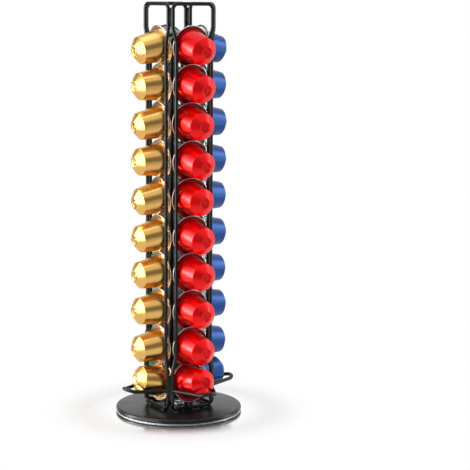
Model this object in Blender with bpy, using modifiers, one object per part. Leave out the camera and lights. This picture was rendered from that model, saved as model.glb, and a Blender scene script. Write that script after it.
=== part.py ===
"""Revolving dispenser for coffee capsules: four wire channels welded to a turntable.

Metres, +Z up. The origin is on the turning axis, at the surface that the stand rests on.
Seen from above, the front channel faces -Y, the right one +X, the back one +Y and the left
one -X. Each channel holds a leaning stack of ten capsules that rests on a wire cradle.
"""

import math

import bmesh
import bpy
import numpy as np
from mathutils import Euler, Matrix, Vector

MM = 0.001

# Clearances
SEAT_GAP = 0.3 * MM
STACK_GAP = 0.6 * MM
BALL_GAP = 0.2 * MM
PIVOT_GAP = 0.25 * MM
CUT_OVERRUN = 1.0 * MM

# Capsule: an aluminium cup with a curled rim, closed by a foil lid
RIM_DIAMETER = 37.0 * MM
RIM_THICKNESS = 1.2 * MM
CURL_WIDTH = 1.1 * MM
FLANGE_THICKNESS = 0.6 * MM
NECK_DIAMETER = 30.2 * MM
SHOULDER_DIAMETER = 24.4 * MM
SHOULDER_HEIGHT = 23.4 * MM
NOSE_DIAMETER = 10.6 * MM
CAPSULE_HEIGHT = 28.5 * MM
DIMPLE_DEPTH = 0.9 * MM
CAPSULE_SEGMENTS = 16
LOWEST_RIM_HEIGHT = 5.5 * MM

# Wire frames: one closed, bent wire for each channel
WIRE_DIAMETER = 3.4 * MM
WINDOW_CLEARANCE = 0.3 * MM
CORNER_GAP = 0.95 * MM
EXIT_HEIGHT = 36.6 * MM
EXIT_JOG_LENGTH = 15.2 * MM
LOADING_ROOM = 18.3 * MM
LOADING_HEIGHT = 21.4 * MM
LOADING_JOG_LENGTH = 12.8 * MM
FRAME_BEND_RADIUS = 5.0 * MM
JOG_BEND_RADIUS = 9.0 * MM

# Guides: two hooped wires crossing inside the channels, behind the lids
GUIDE_OFFSET = 13.2 * MM
GUIDE_DROP = 9.0 * MM
GUIDE_BEND_RADIUS = 6.0 * MM

# Cradles: the catch loop that holds up the lowest capsule's nose
CRADLE_HEIGHT = 19.8 * MM
CRADLE_DIP = 1.5 * MM
CRADLE_LIFT = 1.2 * MM
CRADLE_REACH = 56.4 * MM
CRADLE_TIP_RADIUS = 8.7 * MM

# Turntable: a shallow pressed pan that hides the bearing
TURNTABLE_DIAMETER = 116.0 * MM
TURNTABLE_TOP = 5.0 * MM
TURNTABLE_SHEET = 1.2 * MM
TURNTABLE_EDGE_RADIUS = 1.8 * MM

# Fixed base: a plate whose bright, turned-down edge shows under the turntable's skirt
BASE_INSET = 0.5 * MM
BASE_SHEET = 0.7 * MM
BASE_FLOOR_GAP = 0.2 * MM
FOOT_INSET = 5.0 * MM
FOOT_WIDTH = 9.0 * MM
FOOT_THICKNESS = 0.5 * MM

# Bearing and pivot
BALL_COUNT = 4
BALL_CIRCLE_DIAMETER = 60.0 * MM
CAGE_WIDTH = 6.0 * MM
CAGE_THICKNESS = 0.5 * MM
RIVET_DIAMETER = 5.0 * MM
RIVET_HEAD_DIAMETER = 10.0 * MM
RIVET_HEAD_HEIGHT = 1.6 * MM
RIVET_FLANGE_DIAMETER = 9.0 * MM
RIVET_FLANGE_THICKNESS = 0.3 * MM
WASHER_DIAMETER = 12.0 * MM
WASHER_THICKNESS = 0.5 * MM

# Facets round a turned piece and in a bend
TURNED_SEGMENTS = 48
SMALL_SEGMENTS = 24
BALL_SEGMENTS = 12
BALL_RINGS = 8
BEND_STEPS = 4
JOG_STEPS = 2
TIP_STEPS = 10

# The way each capsule leans, in degrees, from the top of the stack down. Droop lowers the
# nose and yaw turns it to the viewer's right. Depth runs from 0, with the lid against the
# guide, to 1, with the rim against the frame.
CHANNELS = {
    "front": {
        "turn": 0,
        "droop": (11, 9, 5, 9, 4, 7, 3, 5, 5, -10),
        "yaw": (1, 1, -3, 1, -3, 1, 2, 2, 1, 2),
        "depth_shares": (1, 1, 1, 1, 1, 1, 1, 1, 1, 0.05),
    },
    "right": {
        "turn": 90,
        "droop": (11, 7, 6, 7, 5, 5, 5, 3, 5, -10),
        "yaw": (1, 2, 1, 1, 2, 1, 2, 1, 1, 2),
        "depth_shares": (1, 1, 1, 1, 1, 1, 1, 1, 1, 0.05),
    },
    "back": {
        "turn": 180,
        "droop": (10, 6, 8, 4, 7, 5, 4, 6, 4, -10),
        "yaw": (1, -1, -1, 2, 0, 2, 2, 1, 2, 2),
        "depth_shares": (1, 1, 1, 1, 1, 1, 1, 1, 1, 0.05),
    },
    "left": {
        "turn": 270,
        "droop": (11, 5, 9, 3, 9, 8, 5, 2, 5, -10),
        "yaw": (1, 1, -2, 2, -2, 1, 2, 2, 1, 2),
        "depth_shares": (1, 0.75, 1, 1, 1, 1, 1, 1, 1, 0.05),
    },
}

# Derived places
WIRE_RADIUS = WIRE_DIAMETER / 2
RIM_RADIUS = RIM_DIAMETER / 2
LEG_NARROW = NECK_DIAMETER / 2 + WIRE_RADIUS
LEG_WIDE = RIM_RADIUS + WINDOW_CLEARANCE + WIRE_RADIUS
FRAME_OFFSET = LEG_WIDE + (WIRE_DIAMETER + CORNER_GAP) / math.sqrt(2)
FRAME_BOTTOM = TURNTABLE_TOP + SEAT_GAP + WIRE_RADIUS
STACK_PITCH = RIM_RADIUS + NECK_DIAMETER / 2 + STACK_GAP
LOWEST_LID = TURNTABLE_TOP + LOWEST_RIM_HEIGHT + RIM_RADIUS
STACK_TOP = LOWEST_LID + STACK_PITCH * (len(CHANNELS["front"]["droop"]) - 1) + RIM_RADIUS
FRAME_TOP = STACK_TOP + LOADING_ROOM
GUIDE_TOP = STACK_TOP - GUIDE_DROP
BASE_BOTTOM = FOOT_THICKNESS + SEAT_GAP
BASE_TOP = BASE_BOTTOM + BASE_SHEET
BASE_RADIUS = TURNTABLE_DIAMETER / 2 - BASE_INSET
PAN_BOTTOM = BASE_TOP + SEAT_GAP
PAN_CEILING = TURNTABLE_TOP - TURNTABLE_SHEET
BALL_DIAMETER = PAN_CEILING - BASE_TOP - BALL_GAP * 2
BALL_HEIGHT = (PAN_CEILING + BASE_TOP) / 2
PIVOT_HOLE_DIAMETER = RIVET_DIAMETER + PIVOT_GAP * 2


def clear_scene():
    """Remove every object, so the model starts from an empty scene."""
    for old in list(bpy.data.objects):
        bpy.data.objects.remove(old, do_unlink=True)


def make_collection(name):
    collection = bpy.data.collections.new(name)
    bpy.context.scene.collection.children.link(collection)
    return collection


def make_material(name, colour, roughness, metallic):
    material = bpy.data.materials.new(name)
    material.use_nodes = True
    shader = material.node_tree.nodes["Principled BSDF"]
    shader.inputs["Base Color"].default_value = (*colour, 1)
    shader.inputs["Roughness"].default_value = roughness
    shader.inputs["Metallic"].default_value = metallic
    return material


clear_scene()
PARTS = make_collection("capsule_dispenser")
CUTTERS = make_collection("cutters")

BLACK_COAT = make_material("black_powder_coat", (0.012, 0.012, 0.013), 0.38, 0.0)
BLACK_TABLE = make_material("turntable_paint", (0.014, 0.014, 0.015), 0.45, 0.0)
ZINC = make_material("zinc_plate", (0.62, 0.63, 0.65), 0.35, 1.0)
STEEL = make_material("polished_steel", (0.7, 0.7, 0.72), 0.15, 1.0)
NYLON = make_material("white_nylon", (0.8, 0.8, 0.76), 0.5, 0.0)
RUBBER = make_material("black_rubber", (0.02, 0.02, 0.02), 0.8, 0.0)
CAPSULE_COLOURS = {
    "front": make_material("red_aluminium", (0.7, 0.006, 0.01), 0.25, 0.8),
    "right": make_material("blue_aluminium", (0.03, 0.1, 0.36), 0.25, 0.8),
    "back": make_material("green_aluminium", (0.1, 0.2, 0.12), 0.25, 0.8),
    "left": make_material("gold_aluminium", (0.66, 0.42, 0.14), 0.3, 0.9),
}


def make_empty(name, parent=None, turn=0):
    """Make an empty on the turning axis, for the pieces that move together."""
    empty = bpy.data.objects.new(name, None)
    empty.parent = parent
    empty.rotation_euler.z = math.radians(turn)
    PARTS.objects.link(empty)
    return empty


def add_object(name, data, material, parent, collection=PARTS):
    piece = bpy.data.objects.new(name, data)
    piece.parent = parent
    data.materials.clear()
    data.materials.append(material)
    collection.objects.link(piece)
    return piece


def turned_profile(name, outline):
    """Make a mesh of one profile at +X, from (radius, height) points listed down its outer side."""
    profile = bpy.data.meshes.new(name)
    points = [(radius, 0, height) for radius, height in outline]
    edges = [(i, i + 1) for i in range(len(points) - 1)]
    if points[0][0] > 0:
        edges.append((len(points) - 1, 0))
    profile.from_pydata(points, edges, [])
    return profile


def turn(piece, segments):
    """Sweep a profile once round its piece's Z axis."""
    screw = piece.modifiers.new("turn", "SCREW")
    screw.angle = math.tau
    screw.steps = segments
    screw.render_steps = segments
    screw.use_merge_vertices = True
    screw.merge_threshold = SEAT_GAP / 100
    screw.use_smooth_shade = True
    return piece


def turned_piece(name, outline, segments, material, parent):
    return turn(add_object(name, turned_profile(name, outline), material, parent), segments)


def quarter_arc(centre, radius, steps):
    """List points from straight up to straight out round the centre, a rounded outer edge."""
    angles = [math.pi / 2 * (1 - i / steps) for i in range(steps + 1)]
    return [(centre[0] + radius * math.cos(a), centre[1] + radius * math.sin(a)) for a in angles]


def bend_corner(before, corner, after, radius, steps):
    """Replace a corner by an arc that is tangent to the runs on both sides."""
    back = (before - corner).normalized()
    ahead = (after - corner).normalized()
    half = back.angle(ahead) / 2
    reach = radius / math.tan(half)
    centre = corner + (back + ahead).normalized() * (radius / math.sin(half))
    start = corner + back * reach - centre
    axis = start.cross(corner + ahead * reach - centre).normalized()
    sweep = math.pi - half * 2
    return [centre + Matrix.Rotation(sweep * i / steps, 3, axis) @ start for i in range(steps + 1)]


def bent_wire(name, points, closed, material, parent):
    """Make a round wire along a path of points, with flat ends where it is open."""
    curve = bpy.data.curves.new(name, "CURVE")
    curve.dimensions = "3D"
    curve.bevel_depth = WIRE_RADIUS
    curve.bevel_resolution = 2
    curve.use_fill_caps = not closed
    spline = curve.splines.new("POLY")
    spline.points.add(len(points) - 1)
    for place, point in zip(spline.points, points):
        place.co = (*point, 1)
    spline.use_cyclic_u = closed
    spline.use_smooth = True
    return add_object(name, curve, material, parent)


def frame_path():
    """Trace a frame seen from outside: wide exit, narrow channel and wide loading window."""
    exit_top = TURNTABLE_TOP + EXIT_HEIGHT
    loading_bottom = FRAME_TOP - LOADING_HEIGHT
    right_side = [
        (LEG_WIDE, FRAME_BOTTOM, FRAME_BEND_RADIUS, BEND_STEPS),
        (LEG_WIDE, exit_top, JOG_BEND_RADIUS, JOG_STEPS),
        (LEG_NARROW, exit_top + EXIT_JOG_LENGTH, JOG_BEND_RADIUS, JOG_STEPS),
        (LEG_NARROW, loading_bottom - LOADING_JOG_LENGTH, JOG_BEND_RADIUS, JOG_STEPS),
        (LEG_WIDE, loading_bottom, JOG_BEND_RADIUS, JOG_STEPS),
        (LEG_WIDE, FRAME_TOP, FRAME_BEND_RADIUS, BEND_STEPS),
    ]
    left_side = [(-x, z, radius, steps) for x, z, radius, steps in reversed(right_side)]
    corners = right_side + left_side
    spots = [Vector((x, -FRAME_OFFSET, z)) for x, z, radius, steps in corners]
    path = []
    for i, (x, z, radius, steps) in enumerate(corners):
        after = spots[(i + 1) % len(spots)]
        path += bend_corner(spots[i - 1], spots[i], after, radius, steps)
    return path


def guide_path(height):
    """Trace a hoop across the axis, with both feet on the turntable."""
    foot = TURNTABLE_TOP + SEAT_GAP
    right_foot = Vector((0, -GUIDE_OFFSET, foot))
    right_top = Vector((0, -GUIDE_OFFSET, height))
    left_top = Vector((0, GUIDE_OFFSET, height))
    left_foot = Vector((0, GUIDE_OFFSET, foot))
    path = [right_foot]
    path += bend_corner(right_foot, right_top, left_top, GUIDE_BEND_RADIUS, BEND_STEPS)
    path += bend_corner(right_top, left_top, left_foot, GUIDE_BEND_RADIUS, BEND_STEPS)
    return path + [left_foot]


def cradle_path():
    """Trace the catch loop: two legs that draw together and dip, and a round tip that lifts."""
    root = Vector((LEG_WIDE, -FRAME_OFFSET, TURNTABLE_TOP + CRADLE_HEIGHT))
    tip_centre = -(CRADLE_REACH - CRADLE_TIP_RADIUS)
    to_centre = Vector((-root.x, tip_centre - root.y))
    lean = math.atan2(-to_centre.x, -to_centre.y)
    wrap = math.asin(CRADLE_TIP_RADIUS / to_centre.length)
    start_angle = -(lean - wrap)
    dip = root.z - CRADLE_DIP
    arc = []
    for i in range(TIP_STEPS + 1):
        angle = start_angle + (-math.pi - 2 * start_angle) * i / TIP_STEPS
        x = CRADLE_TIP_RADIUS * math.cos(angle)
        y = CRADLE_TIP_RADIUS * math.sin(angle)
        share = max(0, -y) / CRADLE_TIP_RADIUS
        arc.append(Vector((x, tip_centre + y, dip + CRADLE_DIP * share + CRADLE_LIFT * share)))
    leg = (arc[0] - root).normalized()
    start = root + leg * (WIRE_RADIUS + SEAT_GAP)
    end = Vector((-start.x, start.y, start.z))
    return [start] + arc + [end]


def dense(path, closed, step):
    """Fill in a path, so that gaps to it can be measured at its points."""
    ends = path[1:] + path[:1] if closed else path[1:]
    points = []
    for a, b in zip(path, ends):
        count = max(1, math.ceil((b - a).length / step))
        points += [a.lerp(b, i / count) for i in range(count)]
    return np.array(points + [ends[-1]])


CAPSULE_OUTLINE = [
    (0, CAPSULE_HEIGHT - DIMPLE_DEPTH),
    (NOSE_DIAMETER / 2, CAPSULE_HEIGHT),
    (SHOULDER_DIAMETER / 2, SHOULDER_HEIGHT),
    (NECK_DIAMETER / 2, FLANGE_THICKNESS),
    (RIM_RADIUS - CURL_WIDTH, FLANGE_THICKNESS),
    (RIM_RADIUS, RIM_THICKNESS),
    (RIM_RADIUS, 0),
    (0, 0),
]
# The same outline with the nose and the flange filled, for measuring gaps
CAPSULE_ENVELOPE = np.array([
    (0, CAPSULE_HEIGHT),
    (NOSE_DIAMETER / 2, CAPSULE_HEIGHT),
    (SHOULDER_DIAMETER / 2, SHOULDER_HEIGHT),
    (NECK_DIAMETER / 2, RIM_THICKNESS),
    (RIM_RADIUS, RIM_THICKNESS),
    (RIM_RADIUS, 0),
    (0, 0),
])
ENVELOPE_RINGS = 48


def capsule_matrix(depth, height, droop, yaw):
    """Place a capsule in the front channel: lid centre at a depth from the axis, nose out."""
    lean = Euler((math.radians(90 + droop), 0, math.radians(yaw)))
    return Matrix.Translation((0, -depth, height)) @ lean.to_matrix().to_4x4()


def envelope_points(matrix):
    """List points round each edge of a placed capsule, and along its sides."""
    ends = CAPSULE_ENVELOPE[1:]
    outline = np.concatenate([CAPSULE_ENVELOPE, (CAPSULE_ENVELOPE[:-1] + ends) / 2])
    angles = np.arange(ENVELOPE_RINGS) * math.tau / ENVELOPE_RINGS
    x = np.outer(outline[:, 0], np.cos(angles)).ravel()
    y = np.outer(outline[:, 0], np.sin(angles)).ravel()
    z = np.repeat(outline[:, 1], ENVELOPE_RINGS)
    turned = np.array(matrix.to_3x3())
    return np.column_stack([x, y, z]) @ turned.T + np.array(matrix.translation)


def gap_to_capsule(points, matrix):
    """Measure the least distance from points to a placed capsule, negative inside it."""
    inverse = matrix.inverted()
    local = points @ np.array(inverse.to_3x3()).T + np.array(inverse.translation)
    spots = np.column_stack([np.hypot(local[:, 0], local[:, 1]), local[:, 2]])
    starts = CAPSULE_ENVELOPE[:-1]
    runs = CAPSULE_ENVELOPE[1:] - starts
    offsets = spots[:, None, :] - starts
    shares = np.clip((offsets * runs).sum(2) / (runs * runs).sum(1), 0, 1)
    distance = np.linalg.norm(offsets - shares[..., None] * runs, axis=2).min(1)
    outline = CAPSULE_ENVELOPE[::-1]
    radius_there = np.interp(spots[:, 1], outline[1:, 1], outline[1:, 0])
    inside = (spots[:, 1] > 0) & (spots[:, 1] < CAPSULE_HEIGHT) & (spots[:, 0] < radius_there)
    return float(np.where(inside, -distance, distance).min())


def last_clear(is_clear, start, step, limit):
    """Step from a clear value to where it is no longer clear, but no further than a limit."""
    clear, blocked = start, start + step
    while is_clear(blocked):
        if abs(blocked - start) > limit:
            return blocked
        clear, blocked = blocked, blocked + step
    while abs(blocked - clear) > abs(step) / 100:
        middle = (clear + blocked) / 2
        if is_clear(middle):
            clear = middle
        else:
            blocked = middle
    return clear


FRAME_POINTS = dense(frame_path(), True, WIRE_RADIUS)
GUIDE_POINTS = dense(guide_path(GUIDE_TOP), False, WIRE_RADIUS)
CRADLE_POINTS = dense(cradle_path(), False, WIRE_RADIUS)
WIRE_CLEAR = WIRE_RADIUS + SEAT_GAP


def lean_depth(height, droop, yaw, share):
    """Find how far out a lid sits, between touching the guide and touching the frame."""

    def clears_guide(depth):
        return gap_to_capsule(GUIDE_POINTS, capsule_matrix(depth, height, droop, yaw)) > WIRE_CLEAR

    def clears_frame(depth):
        return gap_to_capsule(FRAME_POINTS, capsule_matrix(depth, height, droop, yaw)) > WIRE_CLEAR

    inner = last_clear(clears_guide, FRAME_OFFSET, -WIRE_RADIUS, FRAME_OFFSET)
    if share == 0:
        return inner
    outer = last_clear(clears_frame, inner, WIRE_RADIUS / 4, FRAME_OFFSET - inner)
    return inner + (outer - inner) * share


def stack_places(leans):
    """Stack the capsules from the cradle up, each resting on the rim of the one below."""
    lean_list = list(zip(leans["droop"], leans["yaw"], leans["depth_shares"]))[::-1]
    places = []
    height = LOWEST_LID
    for droop, yaw, share in lean_list:
        depth = lean_depth(height, droop, yaw, share)
        for settle in range(2):

            def rests(level):
                placed = capsule_matrix(depth, level, droop, yaw)
                if not places:
                    return gap_to_capsule(CRADLE_POINTS, placed) > WIRE_CLEAR
                onto = min(
                    gap_to_capsule(envelope_points(places[-1]), placed),
                    gap_to_capsule(envelope_points(placed), places[-1]),
                )
                return onto > STACK_GAP

            height = last_clear(rests, height + RIM_RADIUS, -SEAT_GAP, STACK_PITCH)
            depth = lean_depth(height, droop, yaw, share)
        places.append(capsule_matrix(depth, height, droop, yaw))
        height += STACK_PITCH
    return places[::-1]


def make_frames(rack):
    path = frame_path()
    for name, channel in CHANNELS.items():
        frame = bent_wire(f"frame_{name}", path, True, BLACK_COAT, rack)
        frame.rotation_euler.z = math.radians(channel["turn"])


def make_cradles(rack):
    path = cradle_path()
    for name, channel in CHANNELS.items():
        cradle = bent_wire(f"cradle_{name}", path, False, BLACK_COAT, rack)
        cradle.rotation_euler.z = math.radians(channel["turn"])


def make_guides(rack):
    """Two hoops cross at the top, the second passing under the first."""
    low = GUIDE_TOP - WIRE_DIAMETER - SEAT_GAP
    bent_wire("guide_front_back", guide_path(low), False, BLACK_COAT, rack)
    crossing = bent_wire("guide_left_right", guide_path(GUIDE_TOP), False, BLACK_COAT, rack)
    crossing.rotation_euler.z = math.radians(90)


def make_capsules(rack):
    profile = turned_profile("capsule", CAPSULE_OUTLINE)
    for name, channel in CHANNELS.items():
        column = make_empty(f"column_{name}", rack, channel["turn"])
        mesh = profile.copy()
        for number, place in enumerate(stack_places(channel), 1):
            capsule_name = f"capsule_{name}_{number:02d}"
            capsule = add_object(capsule_name, mesh, CAPSULE_COLOURS[name], column)
            capsule.matrix_local = place
            turn(capsule, CAPSULE_SEGMENTS)


def make_turntable(rack):
    """Press a shallow pan with a rounded edge and a skirt that hides the bearing."""
    radius = TURNTABLE_DIAMETER / 2
    inner = radius - TURNTABLE_SHEET
    hole = PIVOT_HOLE_DIAMETER / 2
    edge = (radius - TURNTABLE_EDGE_RADIUS, TURNTABLE_TOP - TURNTABLE_EDGE_RADIUS)
    outline = [(hole, TURNTABLE_TOP)]
    outline += quarter_arc(edge, TURNTABLE_EDGE_RADIUS, BEND_STEPS)
    outline += [
        (radius, PAN_BOTTOM),
        (inner, PAN_BOTTOM),
        (inner, PAN_CEILING - (TURNTABLE_EDGE_RADIUS - TURNTABLE_SHEET)),
        (inner - (TURNTABLE_EDGE_RADIUS - TURNTABLE_SHEET), PAN_CEILING),
        (hole, PAN_CEILING),
    ]
    turned_piece("turntable", outline, TURNED_SEGMENTS, BLACK_TABLE, rack)


def make_base(base):
    """Press the fixed base plate, its edge turned down round the rubber foot ring."""
    hole = PIVOT_HOLE_DIAMETER / 2
    edge = (BASE_RADIUS - BASE_SHEET, BASE_TOP - BASE_SHEET)
    outline = [(hole, BASE_TOP)]
    outline += quarter_arc(edge, BASE_SHEET, JOG_STEPS)
    outline += [
        (BASE_RADIUS, BASE_FLOOR_GAP),
        (BASE_RADIUS - BASE_SHEET, BASE_FLOOR_GAP),
        (BASE_RADIUS - BASE_SHEET, BASE_BOTTOM),
        (hole, BASE_BOTTOM),
    ]
    turned_piece("base_plate", outline, TURNED_SEGMENTS, ZINC, base)

    outer = BASE_RADIUS - FOOT_INSET
    foot = [
        (outer - FOOT_WIDTH, FOOT_THICKNESS),
        (outer, FOOT_THICKNESS),
        (outer, 0),
        (outer - FOOT_WIDTH, 0),
    ]
    turned_piece("foot_ring", foot, TURNED_SEGMENTS, RUBBER, base)


def make_pivot(base):
    """Join base and turntable with a headed rivet and a washer under its head."""
    shank = RIVET_DIAMETER / 2
    washer_bottom = TURNTABLE_TOP + SEAT_GAP
    head_bottom = washer_bottom + WASHER_THICKNESS + SEAT_GAP
    head_radius = RIVET_HEAD_DIAMETER / 2
    steps = BEND_STEPS
    dome = [
        (head_radius * math.sin(a), head_bottom + RIVET_HEAD_HEIGHT * math.cos(a))
        for a in (math.pi / 2 * i / steps for i in range(steps + 1))
    ]
    flange_top = BASE_BOTTOM - BALL_GAP
    flange = RIVET_FLANGE_DIAMETER / 2
    outline = dome + [
        (shank, head_bottom),
        (shank, flange_top),
        (flange, flange_top),
        (flange, flange_top - RIVET_FLANGE_THICKNESS),
        (0, flange_top - RIVET_FLANGE_THICKNESS),
    ]
    turned_piece("pivot_rivet", outline, SMALL_SEGMENTS, STEEL, base)

    washer = [
        (shank + PIVOT_GAP, washer_bottom + WASHER_THICKNESS),
        (WASHER_DIAMETER / 2, washer_bottom + WASHER_THICKNESS),
        (WASHER_DIAMETER / 2, washer_bottom),
        (shank + PIVOT_GAP, washer_bottom),
    ]
    turned_piece("pivot_washer", washer, SMALL_SEGMENTS, ZINC, base)


def ball_places():
    """Space the balls evenly round their circle."""
    reach = BALL_CIRCLE_DIAMETER / 2
    for i in range(BALL_COUNT):
        angle = math.tau * (i + 0.5) / BALL_COUNT
        yield Matrix.Translation((reach * math.cos(angle), reach * math.sin(angle), BALL_HEIGHT))


def mesh_from(builder, name):
    mesh = bpy.data.meshes.new(name)
    builder.to_mesh(mesh)
    builder.free()
    return mesh


def make_bearing(ring):
    """Lay a ring of balls in the pockets of a flat nylon cage."""
    middle = BALL_CIRCLE_DIAMETER / 2
    half_width = CAGE_WIDTH / 2
    cage_top = BALL_HEIGHT + CAGE_THICKNESS / 2
    cage_bottom = cage_top - CAGE_THICKNESS
    outline = [
        (middle - half_width, cage_top),
        (middle + half_width, cage_top),
        (middle + half_width, cage_bottom),
        (middle - half_width, cage_bottom),
    ]
    cage = turned_piece("ball_cage", outline, TURNED_SEGMENTS, NYLON, ring)

    pockets = bmesh.new()
    for place in ball_places():
        bmesh.ops.create_cone(
            pockets,
            cap_ends=True,
            segments=CAPSULE_SEGMENTS,
            radius1=BALL_DIAMETER / 2 + BALL_GAP,
            radius2=BALL_DIAMETER / 2 + BALL_GAP,
            depth=CAGE_THICKNESS + CUT_OVERRUN,
            matrix=place,
        )
    cutter = add_object("cage_pockets", mesh_from(pockets, "cage_pockets"), NYLON, ring, CUTTERS)
    cutter.hide_render = True
    cutter.display_type = "WIRE"
    cut = cage.modifiers.new("pockets", "BOOLEAN")
    cut.operation = "DIFFERENCE"
    cut.object = cutter

    sphere = bmesh.new()
    bmesh.ops.create_uvsphere(
        sphere, u_segments=BALL_SEGMENTS, v_segments=BALL_RINGS, radius=BALL_DIAMETER / 2
    )
    ball_mesh = mesh_from(sphere, "bearing_ball")
    ball_mesh.shade_smooth()
    for number, place in enumerate(ball_places(), 1):
        ball = add_object(f"bearing_ball_{number}", ball_mesh, STEEL, ring)
        ball.matrix_local = place


BASE = make_empty("base")
BALL_RING = make_empty("ball_ring", BASE)
RACK = make_empty("rack", BASE)
make_base(BASE)
make_pivot(BASE)
make_bearing(BALL_RING)
make_turntable(RACK)
make_frames(RACK)
make_guides(RACK)
make_cradles(RACK)
make_capsules(RACK)
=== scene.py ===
"""Looks of a revolving dispenser for coffee capsules: black wires and turntable, four stacks.

Lengths are in metres, +Z is up and the origin is on the turning axis, where the stand rests.
"""

import math

import bpy
import numpy as np
from mathutils import Matrix, Vector


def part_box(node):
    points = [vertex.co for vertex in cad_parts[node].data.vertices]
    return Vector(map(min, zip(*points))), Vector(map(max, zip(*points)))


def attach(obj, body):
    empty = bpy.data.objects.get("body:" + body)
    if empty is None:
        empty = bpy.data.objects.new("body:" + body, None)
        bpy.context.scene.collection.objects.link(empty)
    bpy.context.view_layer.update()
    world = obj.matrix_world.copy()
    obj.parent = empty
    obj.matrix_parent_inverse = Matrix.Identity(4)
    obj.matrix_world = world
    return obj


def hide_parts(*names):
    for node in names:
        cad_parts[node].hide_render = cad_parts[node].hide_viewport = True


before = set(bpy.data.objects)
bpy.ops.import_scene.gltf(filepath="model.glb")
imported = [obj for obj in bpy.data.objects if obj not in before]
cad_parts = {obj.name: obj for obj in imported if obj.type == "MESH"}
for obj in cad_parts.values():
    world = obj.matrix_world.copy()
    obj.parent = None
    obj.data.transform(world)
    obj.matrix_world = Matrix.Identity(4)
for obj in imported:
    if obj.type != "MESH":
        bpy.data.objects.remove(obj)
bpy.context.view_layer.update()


# Foot ring: a flat ring moulded in black rubber, with two shallow grooves in its sole. It is
# glued under the base plate, so that the stand doesn't slide on the worktop.
def unit(vectors):
    """Scale each vector to length one: v divided by its length."""
    return vectors / np.linalg.norm(vectors, axis=-1, keepdims=True)


def rounded(corners, radii, closed=True, step=15):
    """Trace an outline or path through corners, each one bent to its radius.

    An arc's centre lies along the bisector of its two runs, at radius / sin(half the angle
    between them), and its points turn by even steps from one touching point to the other.
    """
    corners = np.asarray(corners, float)
    path = []
    for i, radius in enumerate(radii):
        corner = corners[i]
        if radius == 0 or (not closed and i in (0, len(corners) - 1)):
            path.append(corner[None])
            continue
        back = unit(corners[i - 1] - corner)
        onward = unit(corners[(i + 1) % len(corners)] - corner)
        half = math.acos(np.clip(back @ onward, -1, 1)) / 2
        centre = corner + unit(back + onward) * radius / math.sin(half)
        start = corner + back * radius / math.tan(half) - centre
        end = corner + onward * radius / math.tan(half) - centre
        sweep = math.pi - 2 * half
        share = np.linspace(0, 1, max(2, math.ceil(math.degrees(sweep) / step)) + 1)[:, None]
        arc = np.sin((1 - share) * sweep) * start + np.sin(share * sweep) * end
        path.append(centre + arc / math.sin(sweep))
    return np.concatenate(path)


def skin(grid, poles=None):
    """Join a grid of points, whose columns run round, into four-sided faces.

    Without poles the last row joins the first. Two poles each close an end with a fan.
    """
    rows, columns = grid.shape[:2]
    row = np.arange(rows if poles is None else rows - 1)[:, None] * columns
    column = np.arange(columns)
    after = (column + 1) % columns
    below = (row + columns) % (rows * columns)
    faces = np.stack([row + column, row + after, below + after, below + column], axis=-1)
    faces = faces.reshape(-1, 4).tolist()
    points = grid.reshape(-1, 3)
    if poles is not None:
        first, final = len(points), (rows - 1) * columns
        fans = [np.stack([np.full(columns, first), after, column], axis=-1),
                np.stack([np.full(columns, first + 1), final + column, final + after], axis=-1)]
        faces += np.concatenate(fans).tolist()
        points = np.concatenate([points, poles])
    return points, faces


def lathe(outline, segments=160):
    """Turn an outline of (radius, height) points once round Z: (r cos a, r sin a, h).

    An outline that starts and ends on the axis gets a pole at both. Any other is looped.
    """
    outline = np.asarray(outline, float)
    on_axis = outline[0, 0] == 0
    rows = outline[1:-1] if on_axis else outline
    angles = np.arange(segments) * math.tau / segments
    grid = np.stack([np.outer(rows[:, 0], np.cos(angles)), np.outer(rows[:, 0], np.sin(angles)),
                     np.repeat(rows[:, 1:], segments, axis=1)], axis=-1)
    return skin(grid, [(0, 0, outline[0, 1]), (0, 0, outline[-1, 1])] if on_axis else None)


def add_piece(name, points_and_faces, finish, body, node=None, sharp=40):
    """Make a piece of the stand, its faces turned outward by the sign of its volume."""
    points, faces = points_and_faces
    mesh = bpy.data.meshes.new(name)
    mesh.from_pydata(points.tolist(), [], faces)
    mesh.calc_loop_triangles()
    triangles = np.empty(len(mesh.loop_triangles) * 3, np.int32)
    mesh.loop_triangles.foreach_get("vertices", triangles)
    a, b, c = points[triangles.reshape(-1, 3)].transpose(1, 0, 2)
    if np.einsum("ij,ij->", a, np.cross(b, c)) < 0:
        mesh.flip_normals()
    mesh.shade_smooth()
    mesh.set_sharp_from_angle(angle=math.radians(sharp))
    mesh.materials.append(finish)
    piece = bpy.data.objects.new(name, mesh)
    bpy.context.scene.collection.objects.link(piece)
    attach(piece, body)
    if node:
        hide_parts(node)
    return piece


def add_node(tree, kind, inputs=(), **settings):
    """Add a shader node, with its settings and its own values or incoming links."""
    node = tree.nodes.new(kind)
    for key, value in settings.items():
        setattr(node, key, value)
    for key, value in dict(inputs).items():
        if isinstance(value, bpy.types.NodeSocket):
            tree.links.new(value, node.inputs[key])
        else:
            node.inputs[key].default_value = value
    return node


def new_effect(name, **inputs):
    """Start a surface effect whose sockets carry only vectors, colours and values.

    An input's kind follows from its value: three numbers are a place, four a colour.
    """
    group = bpy.data.node_groups.new(name, "ShaderNodeTree")
    for label, value in inputs.items():
        length = len(value) if isinstance(value, tuple) else 1
        kind = {1: "NodeSocketFloat", 3: "NodeSocketVector", 4: "NodeSocketColor"}[length]
        socket = group.interface.new_socket(label, in_out="INPUT", socket_type=kind)
        socket.default_value = value
    return group, group.nodes.new("NodeGroupInput").outputs


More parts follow.
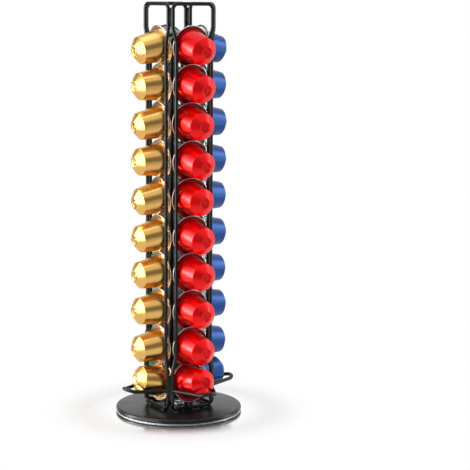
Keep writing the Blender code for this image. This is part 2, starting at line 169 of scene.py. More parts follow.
def end_effect(group, **results):
    """Give a surface effect its outputs, each named for the shader socket that it feeds."""
    kinds = {"RGBA": "NodeSocketColor", "VALUE": "NodeSocketFloat", "VECTOR": "NodeSocketVector"}
    for label, source in results.items():
        group.interface.new_socket(label, in_out="OUTPUT", socket_type=kinds[source.type])
    output = group.nodes.new("NodeGroupOutput")
    for label, source in results.items():
        group.links.new(source, output.inputs[label])


def new_finish(name, effect, place=None, constants=(), **values):
    """Make a material: constants on the shader's sockets, the rest from a surface effect.

    The effect works in the piece's own coordinates, or in a place stored on its points.
    """
    finish = bpy.data.materials.new(name)
    finish.use_nodes = True
    tree = finish.node_tree
    shader = tree.nodes["Principled BSDF"]
    for socket, value in dict(constants).items():
        shader.inputs[socket].default_value = value
    if place:
        values["Place"] = add_node(
            tree, "ShaderNodeAttribute", attribute_name=place).outputs["Vector"]
    else:
        values["Place"] = add_node(tree, "ShaderNodeTexCoord").outputs["Object"]
    worked = add_node(tree, "ShaderNodeGroup", values, node_tree=effect)
    for output in worked.outputs:
        tree.links.new(output, shader.inputs[output.name.replace("_", " ")])
    return finish


# Coating effect: the fine pebbling of moulded rubber, nylon and baked paint, broad uneven gloss,
# and a thin film of dust on what faces up.
coating, coat = new_effect(
    "coating", Place=(0.0, 0.0, 0.0), Colour=(0.0, 0.0, 0.0, 1.0), Gloss=0.35, Unevenness=0.05,
    Dust=0.1, Pebbles=900.0, Relief=0.1)
pebbles = add_node(coating, "ShaderNodeTexNoise", {
    "Vector": coat["Place"], "Scale": coat["Pebbles"], "Detail": 3})
broad = add_node(coating, "ShaderNodeTexNoise", {
    "Vector": coat["Place"], "Scale": 60, "Detail": 5, "Roughness": 0.6})
facing = add_node(coating, "ShaderNodeSeparateXYZ", {
    0: add_node(coating, "ShaderNodeNewGeometry").outputs["Normal"]})
lying = add_node(coating, "ShaderNodeMapRange", {
    "Value": facing.outputs["Z"], "From Min": 0.2, "From Max": 1.0, "To Max": coat["Dust"]})
drift = add_node(coating, "ShaderNodeMapRange", {
    "Value": broad.outputs["Fac"], "From Min": 0.35, "From Max": 0.75, "To Min": 0.3})
film = add_node(coating, "ShaderNodeMath", {0: lying.outputs[0], 1: drift.outputs[0]},
                operation="MULTIPLY")
dusted = add_node(coating, "ShaderNodeMix", {
    "Factor": film.outputs[0], 6: coat["Colour"], 7: (0.22, 0.21, 0.2, 1)}, data_type="RGBA")
centred = add_node(coating, "ShaderNodeMapRange", {
    "Value": broad.outputs["Fac"], "From Min": 0.3, "From Max": 0.7, "To Min": -1})
gloss = add_node(coating, "ShaderNodeMath", {
    0: centred.outputs[0], 1: coat["Unevenness"], 2: coat["Gloss"]}, operation="MULTIPLY_ADD")
relief = add_node(coating, "ShaderNodeBump", {
    "Height": pebbles.outputs["Fac"], "Strength": coat["Relief"], "Distance": 0.00008})
end_effect(coating, Base_Color=dusted.outputs[2], Roughness=gloss.outputs[0],
           Normal=relief.outputs[0])

rubber = new_finish("foot_rubber", coating, Colour=(0.018, 0.018, 0.018, 1), Gloss=0.75,
                    Dust=0.2, Pebbles=2500, Relief=0.3, constants={"Specular IOR Level": 0.3})
low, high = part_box("foot_ring")
outer, top = high[0], high[2]
inner = outer - 0.009
groove = [(0.0025, 0), (0.003, 0.0002), (0.0035, 0)]
top_edge, sole_edge = 0.00005, 0.00015
add_piece("rubber_foot", lathe(rounded(
    [(inner, top), (outer, top), (outer, 0)] + [(outer - x, z) for x, z in groove]
    + [(inner + x, z) for x, z in groove[::-1]] + [(inner, 0)],
    [top_edge, top_edge, sole_edge] + [0] * 6 + [sole_edge],
)), rubber, "base", "foot_ring")


# Base plate: steel sheet, pressed round with its edge turned down and painted black. It stays
# still while the turntable goes round above it, and its trimmed foot shows as a bright line.
plating, plate = new_effect(
    "plating", Place=(0.0, 0.0, 0.0), Light=(1.0, 1.0, 1.0, 1.0), Dark=(0.5, 0.5, 0.5, 1.0),
    Gloss=0.3)
spangle = add_node(plating, "ShaderNodeTexVoronoi", {"Vector": plate["Place"], "Scale": 350})
haze = add_node(plating, "ShaderNodeTexNoise", {
    "Vector": plate["Place"], "Scale": 90, "Detail": 6})
tone = add_node(plating, "ShaderNodeMix", {
    "Factor": haze.outputs["Fac"], 6: plate["Dark"], 7: plate["Light"]}, data_type="RGBA")
crystal = add_node(plating, "ShaderNodeMapRange", {
    "Value": spangle.outputs["Distance"], "From Max": 0.7, "To Min": -0.03, "To Max": 0.04})
gloss = add_node(plating, "ShaderNodeMath", {0: plate["Gloss"], 1: crystal.outputs[0]})
pitted = add_node(plating, "ShaderNodeBump", {
    "Height": haze.outputs["Fac"], "Strength": 0.02, "Distance": 0.00005})
end_effect(plating, Base_Color=tone.outputs[2], Roughness=gloss.outputs[0],
           Normal=pitted.outputs[0])

plate_paint = new_finish("plate_paint", coating, Colour=(0.01, 0.01, 0.01, 1), Gloss=0.5,
                         Pebbles=1100, constants={"Specular IOR Level": 0.3})
ground_steel = new_finish("ground_steel", plating, Light=(0.8, 0.8, 0.81, 1),
                          Dark=(0.66, 0.67, 0.69, 1), Gloss=0.45, constants={"Metallic": 1.0})
low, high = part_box("base_plate")
outer, top, bottom = high[0], high[2], low[2]
base_sheet, hole = 0.0007, 0.00275
foot_height, lip_height, flare = 0.0004, 0.0002, 0.00025
cut_edge, bend = 0.0001, 0.0004
plate_piece = add_piece("base_plate_steel", lathe(rounded(
    [(hole, top), (outer - flare, top), (outer - flare, bottom + foot_height),
     (outer, bottom + lip_height), (outer, bottom), (outer - base_sheet, bottom),
     (outer - base_sheet, top - base_sheet), (hole, top - base_sheet)],
    [cut_edge, bend, 0, cut_edge, cut_edge, cut_edge, 0, cut_edge],
)), plate_paint, "base", "base_plate")
plate_piece.data.materials.append(ground_steel)
ground_from = outer - 0.9 * base_sheet
for polygon in plate_piece.data.polygons:
    spot = polygon.center
    polygon.material_index = int(
        spot.z < bottom + foot_height and math.hypot(spot.x, spot.y) > ground_from)


# Bearing: polished steel balls in the pockets of a flat cage of white nylon, which keeps them
# apart. They roll between the base plate and the turntable.
nylon = new_finish("cage_nylon", coating, Colour=(0.78, 0.78, 0.72, 1), Gloss=0.45, Dust=0.0,
                   Pebbles=1600, constants={"Subsurface Weight": 0.1})
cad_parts["ball_cage"].data.materials[0] = nylon

ball_steel = new_finish("ball_steel", plating, Light=(0.78, 0.78, 0.79, 1),
                        Dark=(0.7, 0.7, 0.72, 1), Gloss=0.08, constants={"Metallic": 1.0})
half_turn = np.linspace(0, math.pi, 26)
for number in range(1, 5):
    low, high = (np.array(corner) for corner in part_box(f"bearing_ball_{number}"))
    radius = (high - low)[2] / 2
    meridian = np.stack([radius * np.sin(half_turn), radius * np.cos(half_turn)], axis=-1)
    points, faces = lathe(meridian, segments=48)
    add_piece(f"ball_{number}", (points + (low + high) / 2, faces), ball_steel, "ball_ring",
              f"bearing_ball_{number}")


# Pivot: a round-headed steel rivet through base plate and turntable, with a zinc-plated washer
# under its head. Its lower end is spread flat below the plate.
steel = new_finish("rivet_steel", plating, Light=(0.74, 0.74, 0.75, 1),
                   Dark=(0.62, 0.62, 0.64, 1), Gloss=0.16, constants={"Metallic": 1.0})
low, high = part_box("pivot_rivet")
head, top, bottom = high[0], high[2], low[2]
head_height, shank_radius, spread_radius, spread_height = 0.0016, 0.0025, 0.0045, 0.0003
seat, under_head, fillet, break_edge = top - head_height, 0.00002, 0.0001, 0.00005
quarter = np.linspace(0, math.pi / 2, 14)
dome = np.stack([head * np.sin(quarter), seat + head_height * np.cos(quarter)], axis=-1)
shank = [(head - fillet, seat - under_head), (shank_radius + fillet, seat - under_head),
         (shank_radius, seat - fillet), (shank_radius, bottom + spread_height + fillet),
         (shank_radius + fillet, bottom + spread_height),
         (spread_radius - break_edge, bottom + spread_height),
         (spread_radius, bottom + spread_height - break_edge),
         (spread_radius, bottom + break_edge), (spread_radius - break_edge, bottom), (0, bottom)]
add_piece("rivet", lathe(np.concatenate([dome, shank]), segments=96), steel, "base",
          "pivot_rivet")

zinc = new_finish("zinc_plate", plating, Light=(0.9, 0.9, 0.91, 1), Dark=(0.76, 0.77, 0.79, 1),
                  Gloss=0.24, constants={"Metallic": 1.0})
low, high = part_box("pivot_washer")
rolled_edge = 0.00015
add_piece("rivet_washer", lathe(rounded(
    [(hole, high[2]), (high[0], high[2]), (high[0], low[2]), (hole, low[2])],
    [cut_edge, rolled_edge, break_edge, break_edge],
), segments=96), zinc, "base", "pivot_washer")


# Turntable: a shallow pan pressed from steel sheet with a rounded edge, painted satin black. Its
# skirt hides the bearing, and the wires are welded on top.
pan_paint = new_finish("turntable_paint", coating, Colour=(0.006, 0.006, 0.007, 1), Gloss=0.3,
                       Unevenness=0.03, Dust=0.03, Pebbles=1100,
                       constants={"Specular IOR Level": 0.3})
low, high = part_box("turntable")
outer, deck, bottom = high[0], high[2], low[2]
sheet, hole_edge, pressed_edge, trimmed_edge = 0.0012, 0.0002, 0.0018, 0.0003
add_piece("turntable_pan", lathe(rounded(
    [(hole, deck), (outer, deck), (outer, bottom), (outer - sheet, bottom),
     (outer - sheet, deck - sheet), (hole, deck - sheet)],
    [hole_edge, pressed_edge, trimmed_edge, trimmed_edge, pressed_edge - sheet, cut_edge],
), segments=256), pan_paint, "rack", "turntable")


# Frames: one closed steel wire to each channel, bent cold and coated black. It is wide at its
# foot and at the loading window, and narrow between them, which keeps the capsules' rims in.
FACES = {"front": 0, "right": 90, "back": 180, "left": 270}
wire_black = new_finish("wire_coating", coating, Colour=(0.003, 0.003, 0.0035, 1), Gloss=0.22,
                        Unevenness=0.03, Dust=0.01, Pebbles=700,
                        constants={"Specular IOR Level": 0.32})
low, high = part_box("frame_front")
wire = (high[1] - low[1]) / 2


def turned_by(degrees, points):
    """Turn points about Z by an angle, by the plane rotation of their x and y."""
    return points @ np.array(Matrix.Rotation(math.radians(degrees), 3, "Z")).T


def bent_wire(path, side, closed=False):
    """Sweep a circle of the wire's radius along a path.

    A ring's points are p + r (cos a · s + sin a · (t × s)), where t is the path's direction
    and s is the side vector less its part along t. An open end closes in a small chamfer.
    """
    path = np.asarray(path, float)
    if closed:
        direction = unit(np.roll(path, -1, 0) - np.roll(path, 1, 0))
    else:
        direction = unit(np.gradient(path, axis=0))
    side = np.asarray(side, float)
    lateral = unit(side - (direction @ side)[:, None] * direction)
    radii = np.full(len(path), wire)
    centres = path
    if not closed:
        chamfer = wire / 5
        ends = [path[0] + direction[0] * chamfer, path[-1] - direction[-1] * chamfer]
        centres = np.concatenate([path[:1], ends[:1], path[1:-1], ends[1:], path[-1:]])
        lateral = np.concatenate([lateral[:1], lateral, lateral[-1:]])
        direction = np.concatenate([direction[:1], direction, direction[-1:]])
        radii = np.concatenate([[wire - chamfer], radii, [wire - chamfer]])
    sides = 24
    angles = (np.arange(sides) * math.tau / sides)[None, :, None]
    across = np.cross(direction, lateral)
    rings = np.cos(angles) * lateral[:, None] + np.sin(angles) * across[:, None]
    grid = centres[:, None] + radii[:, None, None] * rings
    return skin(grid, None if closed else [path[0], path[-1]])


wide, offset = high[0] - wire, (low[1] + high[1]) / 2
foot, crown = low[2] + wire, high[2] - wire
narrow, exit_jog, window_jog = 0.0168, 0.0152, 0.0128
exit_top, window_foot = 0.0416, crown - 0.0214
half = [(wide, foot), (wide, exit_top), (narrow, exit_top + exit_jog),
        (narrow, window_foot - window_jog), (wide, window_foot), (wide, crown)]
corner_bend, jog_bend = 0.005, 0.009
bends = [corner_bend] + [jog_bend] * 4 + [corner_bend]
corners = [(x, offset, z) for x, z in half] + [(-x, offset, z) for x, z in half[::-1]]
frame_points, frame_faces = bent_wire(
    rounded(corners, bends + bends[::-1], step=7.5), (0, -1, 0), closed=True)
for face, degrees in FACES.items():
    add_piece(f"wire_frame_{face}", (turned_by(degrees, frame_points), frame_faces), wire_black,
              "rack", f"frame_{face}")


# Guides: two hoops of the same wire that cross over the axis, one under the other, with their
# feet on the turntable. The capsules' lids lean on them. A weld is a centre, the three half
# sizes of its bead and a turn about the axis.
welds, weld_gap, hoop_bend = [], 0.0003, 0.006
foot_bead, crossing_bead = (0.0023, 0.0023, 0.0009), (0.0017, 0.0017, 0.0009)
for face, degrees in (("front_back", 0), ("left_right", 90)):
    low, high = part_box(f"guide_{face}")
    reach, crossing = max(high[0], high[1]) - wire, high[2] - wire
    hoop = rounded([(0, -reach, low[2]), (0, -reach, crossing), (0, reach, crossing),
                    (0, reach, low[2])], [0, hoop_bend, hoop_bend, 0], closed=False, step=7.5)
    points, faces = bent_wire(hoop, (1, 0, 0))
    add_piece(f"wire_guide_{face}", (turned_by(degrees, points), faces), wire_black, "rack",
              f"guide_{face}")
    welds += [((0, side * reach, deck + weld_gap), foot_bead, degrees) for side in (-1, 1)]
welds.append(((0, 0, crossing - wire - weld_gap / 2), crossing_bead, 45))


# Cradles: the catch loop that carries each stack. Its legs draw together and dip a little under
# the lowest capsule, and the round tip lifts in front of the nose.
reach, tip_radius = 0.0564, 0.0087
root_height, dip, lift = 0.0248, 0.0015, 0.0012
root = np.array([wide, offset, root_height])
tip_centre = tip_radius - reach
to_centre = np.array([-root[0], tip_centre - root[1]])
first_angle = math.asin(tip_radius / np.linalg.norm(to_centre)) - math.atan2(
    -to_centre[0], -to_centre[1])
angles = np.linspace(first_angle, -math.pi - first_angle, 33)
share = np.maximum(0, -np.sin(angles))
tip = np.stack([tip_radius * np.cos(angles), tip_centre + tip_radius * np.sin(angles),
                root_height - dip + (dip + lift) * share], axis=-1)
leg = unit(tip[0] - root)
start = root + leg * (wire + weld_gap)
cradle_points, cradle_faces = bent_wire(
    np.concatenate([[start], tip, [start * (-1, 1, 1)]]), (0, 0, 1))
for face, degrees in FACES.items():
    add_piece(f"wire_cradle_{face}", (turned_by(degrees, cradle_points), cradle_faces), wire_black,
              "rack", f"cradle_{face}")


# Welds: beads of steel where wire meets wire or turntable, coated black with the rest. Each
# cradle end, hoop foot and bottom bar has its own, and seams join the frames at their corners.
end_bead, bar_bead = (0.0019, 0.0012, 0.0019), (0.003, 0.0017, 0.0011)
seam_width, seam_depth = 0.0011, 0.0012
bar_reach, bar_height = 0.0115, deck + 0.0004
corner_reach = 0.00002 - math.hypot(wide, offset)
seams = ((foot + 0.004, exit_top - 0.002), (window_foot + 0.001, crown - 0.003))
for degrees in FACES.values():
    for side in (-1, 1):
        welds.append(((side * start[0], start[1], start[2]), end_bead, degrees))
        welds.append(((side * bar_reach, offset, bar_height), bar_bead, degrees))
    for low_end, high_end in seams:
        welds.append(((0, corner_reach, (low_end + high_end) / 2),
                      (seam_width, seam_depth, (high_end - low_end) / 2), degrees + 45))
polar = np.linspace(0, math.pi, 12)[1:-1, None]
around = np.arange(20)[None, :] * math.tau / 20
# A bead is a ball whose radius swells as 1 + 0.05 sin(3a + 2p) sin p, with a round it and p down.
lump = 1 + 0.05 * np.sin(3 * around + 2 * polar) * np.sin(polar)
ball_grid = np.stack([lump * np.sin(polar) * np.cos(around), lump * np.sin(polar) * np.sin(around),
                      np.cos(polar) + 0 * around], axis=-1)
bead_points, bead_faces = skin(ball_grid, [(0, 0, 1), (0, 0, -1)])
all_points, all_faces = [], []
for centre, half_sizes, degrees in welds:
    first = sum(len(points) for points in all_points)
    all_points.append(turned_by(degrees, bead_points * half_sizes + centre))
    all_faces += [[first + corner for corner in face] for face in bead_faces]
add_piece("weld_beads", (np.concatenate(all_points), all_faces), wire_black, "rack")


# Cups: thin aluminium, deep-drawn and lacquered, with a rim curled over. The wall tapers to a
# shoulder, and the nose is a blunt cone with a small recessed button. Sizes are millimetres. The
# flange and the button's recess are painted darker as shade, and the curl's edge paler as a
# highlight.
def fade(tree, value, start, end, low=0, high=1):
    """Change smoothly from low, where the value is start, to high at end: 3x² - 2x³."""
    return add_node(tree, "ShaderNodeMapRange", {
        "Value": value, "From Min": start, "From Max": end, "To Min": low, "To Max": high},
        interpolation_type="SMOOTHSTEP").outputs[0]


rim_highlight_edge, flange_shade_edge, recess_shade_edge = (17.75, 18.05), (14.6, 15.4), (4.7, 4.2)
drawing, drawn = new_effect(
    "drawing", Place=(0.0, 0.0, 0.0), Colour=(1.0, 1.0, 1.0, 1.0), Deep=(0.5, 0.5, 0.5, 1.0),
    Flange=(0.5, 0.5, 0.5, 1.0), Rim=(0.8, 0.8, 0.8, 1.0), Metal=1.0, Gloss=0.3, Streaks=1.0)
stretched = add_node(drawing, "ShaderNodeMapping", {
    "Vector": drawn["Place"], "Scale": (1, 1, 0.03)})
lines = add_node(drawing, "ShaderNodeTexNoise", {
    "Vector": stretched.outputs[0], "Scale": 2.6, "Detail": 4, "Roughness": 0.6})
clouds = add_node(drawing, "ShaderNodeTexNoise", {
    "Vector": drawn["Place"], "Scale": 0.12, "Detail": 3})
lined = add_node(drawing, "ShaderNodeMapRange", {
    "Value": lines.outputs["Fac"], "From Min": 0.35, "From Max": 0.7, "To Max": drawn["Streaks"]})
shade = add_node(drawing, "ShaderNodeMath", {
    0: lined.outputs[0], 1: clouds.outputs["Fac"]}, operation="MULTIPLY")
tinted = add_node(drawing, "ShaderNodeMix", {
    "Factor": shade.outputs[0], 6: drawn["Colour"], 7: drawn["Deep"]}, data_type="RGBA")
flat = add_node(drawing, "ShaderNodeVectorMath", {
    0: drawn["Place"], 1: (1, 1, 0)}, operation="MULTIPLY")
outward = add_node(drawing, "ShaderNodeVectorMath", {
    0: flat.outputs[0]}, operation="LENGTH").outputs["Value"]
# Painted highlight: the curl's outer edge, past 17.75 mm, turns to the paler rim colour and to
# full metal.
rim_metal_and_highlight = fade(drawing, outward, *rim_highlight_edge)
# Painted shade: the flange past 14.6 mm, and at 0.3 the button's recess inside 4.7 mm, are mixed
# toward the darker flange colour.
painted_hollow_shade = add_node(drawing, "ShaderNodeMath", {
    0: fade(drawing, outward, *flange_shade_edge), 1: fade(drawing, outward, *recess_shade_edge, high=0.3)},
    operation="MAXIMUM")
shaded_hollows = add_node(drawing, "ShaderNodeMix", {
    "Factor": painted_hollow_shade.outputs[0], 6: tinted.outputs[2], 7: drawn["Flange"]}, data_type="RGBA")
rimmed = add_node(drawing, "ShaderNodeMix", {
    "Factor": rim_metal_and_highlight, 6: shaded_hollows.outputs[2], 7: drawn["Rim"]}, data_type="RGBA")
metal = add_node(drawing, "ShaderNodeMapRange", {
    "Value": rim_metal_and_highlight, "To Min": drawn["Metal"], "To Max": 1})
worn = add_node(drawing, "ShaderNodeMapRange", {
    "Value": clouds.outputs["Fac"], "From Min": 0.3, "From Max": 0.7, "To Min": -0.03,
    "To Max": 0.04})
gloss = add_node(drawing, "ShaderNodeMath", {0: drawn["Gloss"], 1: worn.outputs[0]})
strength = add_node(drawing, "ShaderNodeMath", {0: drawn["Streaks"], 1: 0.03},
                    operation="MULTIPLY")
furrow = add_node(drawing, "ShaderNodeBump", {
    "Height": lines.outputs["Fac"], "Strength": strength.outputs[0], "Distance": 0.00003})
end_effect(drawing, Base_Color=rimmed.outputs[2], Metallic=metal.outputs[0],
           Roughness=gloss.outputs[0], Normal=furrow.outputs[0])

# Each cup colour has a darker flange colour, painted as shade, and a paler rim colour, painted as
# a highlight on the curl.
cup_looks = {
    "front": new_finish(
        "red_lacquer", drawing, "cup_place",
        {"Coat Weight": 0.35, "Coat Roughness": 0.2, "Specular IOR Level": 0.1},
        Colour=(0.9, 0.001, 0.003, 1), Deep=(0.75, 0.001, 0.002, 1), Flange=(0.2, 0.001, 0.005, 1),
        Rim=(0.8, 0.66, 0.62, 1), Metal=0.75, Gloss=0.34, Streaks=0.25),
    "right": new_finish(
        "blue_lacquer", drawing, "cup_place",
        {"Coat Weight": 0.3, "Coat Roughness": 0.25, "Specular IOR Level": 0.1},
        Colour=(0.014, 0.07, 0.26, 1), Deep=(0.01, 0.048, 0.19, 1), Flange=(0.004, 0.015, 0.06, 1),
        Rim=(0.6, 0.62, 0.64, 1), Metal=0.7, Gloss=0.36, Streaks=0.6),
    "back": new_finish(
        "green_lacquer", drawing, "cup_place", {"Specular IOR Level": 0.3},
        Colour=(0.09, 0.2, 0.12, 1), Deep=(0.06, 0.14, 0.08, 1), Flange=(0.02, 0.05, 0.03, 1),
        Rim=(0.35, 0.37, 0.35, 1), Metal=0.7, Gloss=0.34, Streaks=0.6),
    "left": new_finish(
        "gold_lacquer", drawing, "cup_place",
        Colour=(0.85, 0.51, 0.155, 1), Deep=(0.66, 0.37, 0.09, 1), Flange=(0.48, 0.34, 0.21, 1),
        Rim=(0.8, 0.68, 0.52, 1), Metal=1.0, Gloss=0.25, Streaks=0.6),
}
cup_outline = rounded(
    [(0.0, 0.35), (16.9, 0.35), (17.1, 0.12), (18.5, 0.02), (18.5, 1.2), (17.25, 1.2),
     (17.1, 0.62), (14.95, 0.62), (12.25, 23.4), (5.35, 28.5), (4.55, 28.5), (4.2, 27.75),
     (1.9, 27.55), (1.5, 28.0), (0.0, 28.05)],
    [0, 0.15, 0.05, 0.55, 0.55, 0.3, 0.3, 0.9, 0.75, 0.55, 0.2, 0.25, 0.2, 0.3, 0],
    closed=False)
cup_points, cup_faces = lathe(cup_outline, segments=80)


def capsule_axes(node):
    """Find a capsule's place: the axis along which its points spread most, from lid to nose."""
    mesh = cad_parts[node].data
    points = np.empty(len(mesh.vertices) * 3)
    mesh.vertices.foreach_get("co", points)
    points = np.unique(np.round(points.reshape(-1, 3), 6), axis=0)
    centre = points.mean(0)
    axis = np.linalg.eigh(np.cov((points - centre).T))[1][:, -1]
    along = (points - centre) @ axis
    radial = np.linalg.norm(points - centre - along[:, None] * axis, axis=1)
    if along[radial.argmax()] > 0:
        axis, along = -axis, -along
    upward = unit(np.array([0, 0, 1]) - axis[2] * axis)
    return centre + along.min() * axis, np.array([np.cross(upward, axis), upward, axis])


def add_to_capsule(name, points, faces, finish, face, number, node=None):
    """Lay a piece along a capsule's axis, and keep each point's own place in millimetres."""
    origin, axes = places[face, number]
    placed = origin + points * millimetre @ axes
    piece = add_piece(f"{name}_{face}_{number:02d}", (placed, faces), finish, f"column_{face}",
                      node, sharp=50)
    store = piece.data.attributes.new("cup_place", "FLOAT_VECTOR", "POINT")
    store.data.foreach_set("vector", points.ravel())


millimetre = 0.001
places = {(face, number): capsule_axes(f"capsule_{face}_{number:02d}")
          for face in FACES for number in range(1, 11)}
for face, number in places:
    add_to_capsule("cup", cup_points, cup_faces, cup_looks[face], face, number,
                   f"capsule_{face}_{number:02d}")


# Lids: silver foil sealed by heat to the flange inside the curl. An embossed ring marks the seam,
# whose edge puckers a little, and the foil keeps fine creases.
foil_effect, foil = new_effect(
    "foil", Place=(0.0, 0.0, 0.0), Colour=(1.0, 1.0, 1.0, 1.0), Stain=(0.5, 0.5, 0.5, 1.0))
creases = add_node(foil_effect, "ShaderNodeTexNoise", {
    "Vector": foil["Place"], "Scale": 0.5, "Detail": 6, "Roughness": 0.6, "Distortion": 1.2})
specks = add_node(foil_effect, "ShaderNodeTexVoronoi", {"Vector": foil["Place"], "Scale": 1.6})
foiled = add_node(foil_effect, "ShaderNodeMix", {
    "Factor": creases.outputs["Fac"], 6: foil["Colour"], 7: foil["Stain"]}, data_type="RGBA")
dull = add_node(foil_effect, "ShaderNodeMapRange", {
    "Value": specks.outputs["Distance"], "To Min": 0.34, "To Max": 0.5})
crumpled = add_node(foil_effect, "ShaderNodeBump", {
    "Height": creases.outputs["Fac"], "Strength": 0.5, "Distance": 0.0003})
end_effect(foil_effect, Base_Color=foiled.outputs[2], Roughness=dull.outputs[0],
           Normal=crumpled.outputs[0])

foil_silver = new_finish("foil_silver", foil_effect, "cup_place", {"Metallic": 1.0},
                         Colour=(0.7, 0.73, 0.7, 1), Stain=(0.52, 0.55, 0.53, 1))
lid_points, lid_faces = lathe(
    [(0.0, 0.12), (6.0, 0.11), (12.0, 0.09), (13.6, 0.08), (14.1, 0.16), (14.7, 0.16),
     (15.1, 0.07), (16.4, 0.05), (16.75, 0.08), (16.8, 0.2), (16.7, 0.3), (0.0, 0.3)], segments=80)
# Puckers: the seam rises by 0.03 sin 31a sin 7a millimetres, a being the angle round the lid.
x, y, z = lid_points.T
angle, seam = np.arctan2(y, x), (np.hypot(x, y) > 15.5) & (z < 0.25)
lid_points[:, 2] += seam * 0.03 * np.sin(31 * angle) * np.sin(7 * angle)
for face, number in places:
    add_to_capsule("lid", lid_points, lid_faces, foil_silver, face, number)


# Stage: a white worktop, polished round the stand, that runs out to pure white. The studio is
# white to the eye, and mirrors see it grey to the left and front, so that metal gets its contrast.
polish_end, white_start, dim_start, extent = (0.06, 0.096), (0.07, 0.13), (0.25, 0.7), 6
floor_white = bpy.data.materials.new("floor_white")
floor_white.use_nodes = True
tree = floor_white.node_tree
unpolished = tree.nodes["Principled BSDF"]
for socket, value in {"Base Color": (0.93, 0.93, 0.93, 1), "Roughness": 0.12,
                      "Specular IOR Level": 0}.items():
    unpolished.inputs[socket].default_value = value
spot = add_node(tree, "ShaderNodeTexCoord").outputs["Object"]
from_axis = add_node(tree, "ShaderNodeVectorMath", {0: spot}, operation="LENGTH").outputs["Value"]
ray = add_node(tree, "ShaderNodeLightPath").outputs
mirror = add_node(tree, "ShaderNodeBsdfGlossy", {"Color": (1, 1, 1, 1), "Roughness": 0.13})
near = add_node(tree, "ShaderNodeMixShader", {
    0: fade(tree, from_axis, *polish_end, low=0.97, high=0), 1: unpolished.outputs[0],
    2: mirror.outputs[0]})
outward = add_node(tree, "ShaderNodeVectorMath", {0: spot}, operation="NORMALIZE")
leftward, backward = (add_node(tree, "ShaderNodeVectorMath", {
    0: outward.outputs[0], 1: way}, operation="DOT_PRODUCT").outputs["Value"]
    for way in ((-1, 0, 0), (0.54, 0.84, 0)))
horizon = add_node(tree, "ShaderNodeMath", {
    0: fade(tree, leftward, 0.5, -0.2, low=0.22, high=0.6),
    1: fade(tree, backward, 0.6, 0.9, high=0.9)}, operation="MAXIMUM")
dimmed = fade(tree, from_axis, *dim_start, low=0.9, high=horizon.outputs[0])
backdrop = add_node(tree, "ShaderNodeMapRange", {
    "Value": ray["Is Camera Ray"], "To Min": dimmed, "To Max": 1})
white = add_node(tree, "ShaderNodeEmission", {"Strength": backdrop.outputs[0]})
seen_or_mirrored = add_node(tree, "ShaderNodeMath", {
    0: ray["Is Camera Ray"], 1: ray["Is Glossy Ray"]}, operation="MAXIMUM")
faded = add_node(tree, "ShaderNodeMixShader", {
    0: fade(tree, from_axis, *white_start, high=seen_or_mirrored.outputs[0]),
    1: near.outputs[0], 2: white.outputs[0]})
tree.links.new(faded.outputs[0], tree.nodes["Material Output"].inputs["Surface"])
floor_mesh = bpy.data.meshes.new("floor")
floor_mesh.from_pydata([(-extent, -extent, 0), (extent, -extent, 0), (extent, extent, 0),
                        (-extent, extent, 0)], [], [(0, 1, 2, 3)])
floor_mesh.materials.append(floor_white)
floor = bpy.data.objects.new("floor", floor_mesh)
bpy.context.scene.collection.objects.link(floor)

ahead = Vector((0.53233, 0.83315, -0.14994)).normalized()
studio = bpy.data.worlds.new("studio")
bpy.context.scene.world = studio
studio.use_nodes = True
tree = studio.node_tree
direction = add_node(tree, "ShaderNodeTexCoord").outputs["Generated"]
height = add_node(tree, "ShaderNodeSeparateXYZ", {0: direction}).outputs["Z"]
level = add_node(tree, "ShaderNodeVectorMath", {0: direction, 1: (1, 1, 0)}, operation="MULTIPLY")
heading = add_node(tree, "ShaderNodeVectorMath", {0: level.outputs[0]}, operation="NORMALIZE")
frontward, rightward = (add_node(tree, "ShaderNodeVectorMath", {
    0: heading.outputs[0], 1: way}, operation="DOT_PRODUCT").outputs["Value"]
    for way in ((-ahead.x, -ahead.y, 0), (0.964, 0.267, 0)))
wall = fade(tree, rightward, 0.4, 0.85, low=0.22, high=0.8)
ceiling = fade(tree, height, 0.38, 0.68, high=0.9)
glow = fade(tree, frontward, -0.6, -0.85, high=fade(tree, height, 0.48, 0.36))
panels = add_node(tree, "ShaderNodeMath", {0: wall, 1: ceiling}, operation="MAXIMUM")
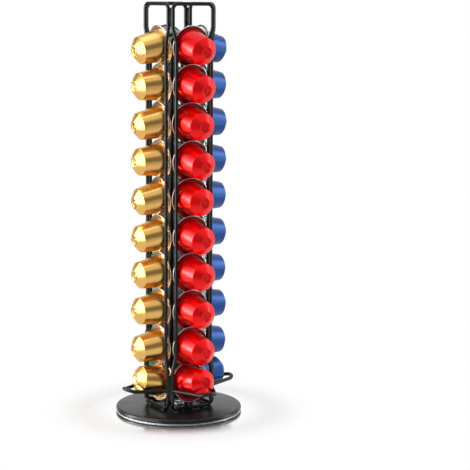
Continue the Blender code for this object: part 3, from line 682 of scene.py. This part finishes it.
mirrored = add_node(tree, "ShaderNodeMath", {0: panels.outputs[0], 1: glow}, operation="MAXIMUM")
seen = add_node(tree, "ShaderNodeLightPath").outputs
room = add_node(tree, "ShaderNodeMix", {
    "Factor": seen["Is Glossy Ray"], 2: 0.88, 3: mirrored.outputs[0]})
brightness = add_node(tree, "ShaderNodeMix", {
    "Factor": seen["Is Camera Ray"], 2: room.outputs[0], 3: 1.0})
tree.links.new(brightness.outputs[0], tree.nodes["Background"].inputs["Strength"])
tree.nodes["Background"].inputs["Color"].default_value = (1, 1, 1, 1)


def softbox(name, place, size, power, highlights_only=False):
    """Hang a rectangular light that faces the middle of the stand."""
    light = bpy.data.lights.new(name, "AREA")
    light.shape = "RECTANGLE"
    light.size, light.size_y = size
    light.energy = power
    lamp = bpy.data.objects.new(name, light)
    lamp.location = place
    facing = (Vector((0, 0, place[2])) - lamp.location).to_track_quat("-Z", "Y")
    lamp.rotation_euler = facing.to_euler()
    lamp.visible_camera = False
    lamp.visible_diffuse = not highlights_only
    bpy.context.scene.collection.objects.link(lamp)


softbox("left_window", (-1.6, 1.2, 0.35), (0.55, 0.7), 19, highlights_only=True)
softbox("left_box", (-0.54, 0.095, 0.3), (0.7, 0.6), 6.5, highlights_only=True)
softbox("right_strip", (0.64, -0.27, 0.42), (0.2, 0.8), 2.2, highlights_only=True)
softbox("top_light", (0, 0, 2.2), (1.6, 1.6), 8)

# Camera: a long lens at the photograph's angle, a little above the top of the stand.
camera_place, camera_roll = (-0.7356, -1.2465, 0.3835), -0.425
camera_data = bpy.data.cameras.new("camera")
camera_data.sensor_fit = "HORIZONTAL"
camera_data.sensor_width = 36
camera_data.lens = 122.3
camera = bpy.data.objects.new("camera", camera_data)
right = Matrix.Rotation(math.radians(camera_roll), 3, ahead) @ ahead.cross((0, 0, 1)).normalized()
camera.matrix_world = Matrix.Translation(camera_place) @ Matrix(
    (right, right.cross(ahead), -ahead)).transposed().to_4x4()
bpy.context.scene.collection.objects.link(camera)
bpy.context.scene.camera = camera
bpy.context.scene.view_settings.view_transform = "Standard"
